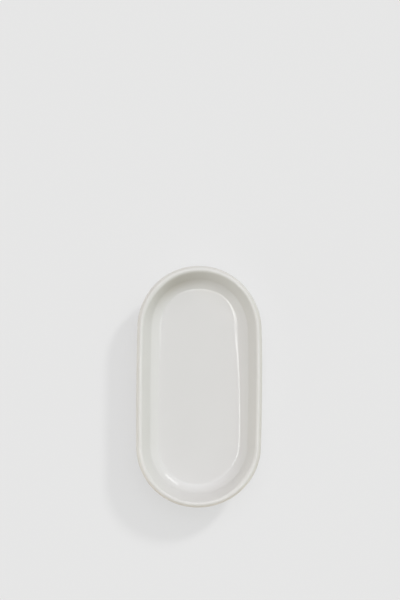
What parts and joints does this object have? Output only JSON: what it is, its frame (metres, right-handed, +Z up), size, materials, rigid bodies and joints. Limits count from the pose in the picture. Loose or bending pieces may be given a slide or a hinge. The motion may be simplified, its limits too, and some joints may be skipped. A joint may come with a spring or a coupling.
{
  "type": "tray",
  "caption": "Long oval glazed stoneware tray with rounded ends, a rounded lip, sloping walls and a flat floor, on anti-slip pads, for keeping small things together.",
  "frame": {"origin": "on the table under the middle of the tray, at the underside of the pads", "axes": "+Z up; Y along the tray, with the back end at +Y; X across the tray, with the right side at +X"},
  "size_m": [0.11, 0.211, 0.026],
  "materials": {
    "glaze": "gloss",
    "pad_rubber": "matte",
    "adhesive": "satin"
  },
  "bodies": {
    "root": {"tray_body": "glaze", "pad_front_left": "pad_rubber", "pad_front_right": "pad_rubber", "pad_back_left": "pad_rubber", "pad_back_right": "pad_rubber", "pad_adhesive_front_left": "adhesive", "pad_adhesive_front_right": "adhesive", "pad_adhesive_back_left": "adhesive", "pad_adhesive_back_right": "adhesive"}
  },
  "joints": []
}
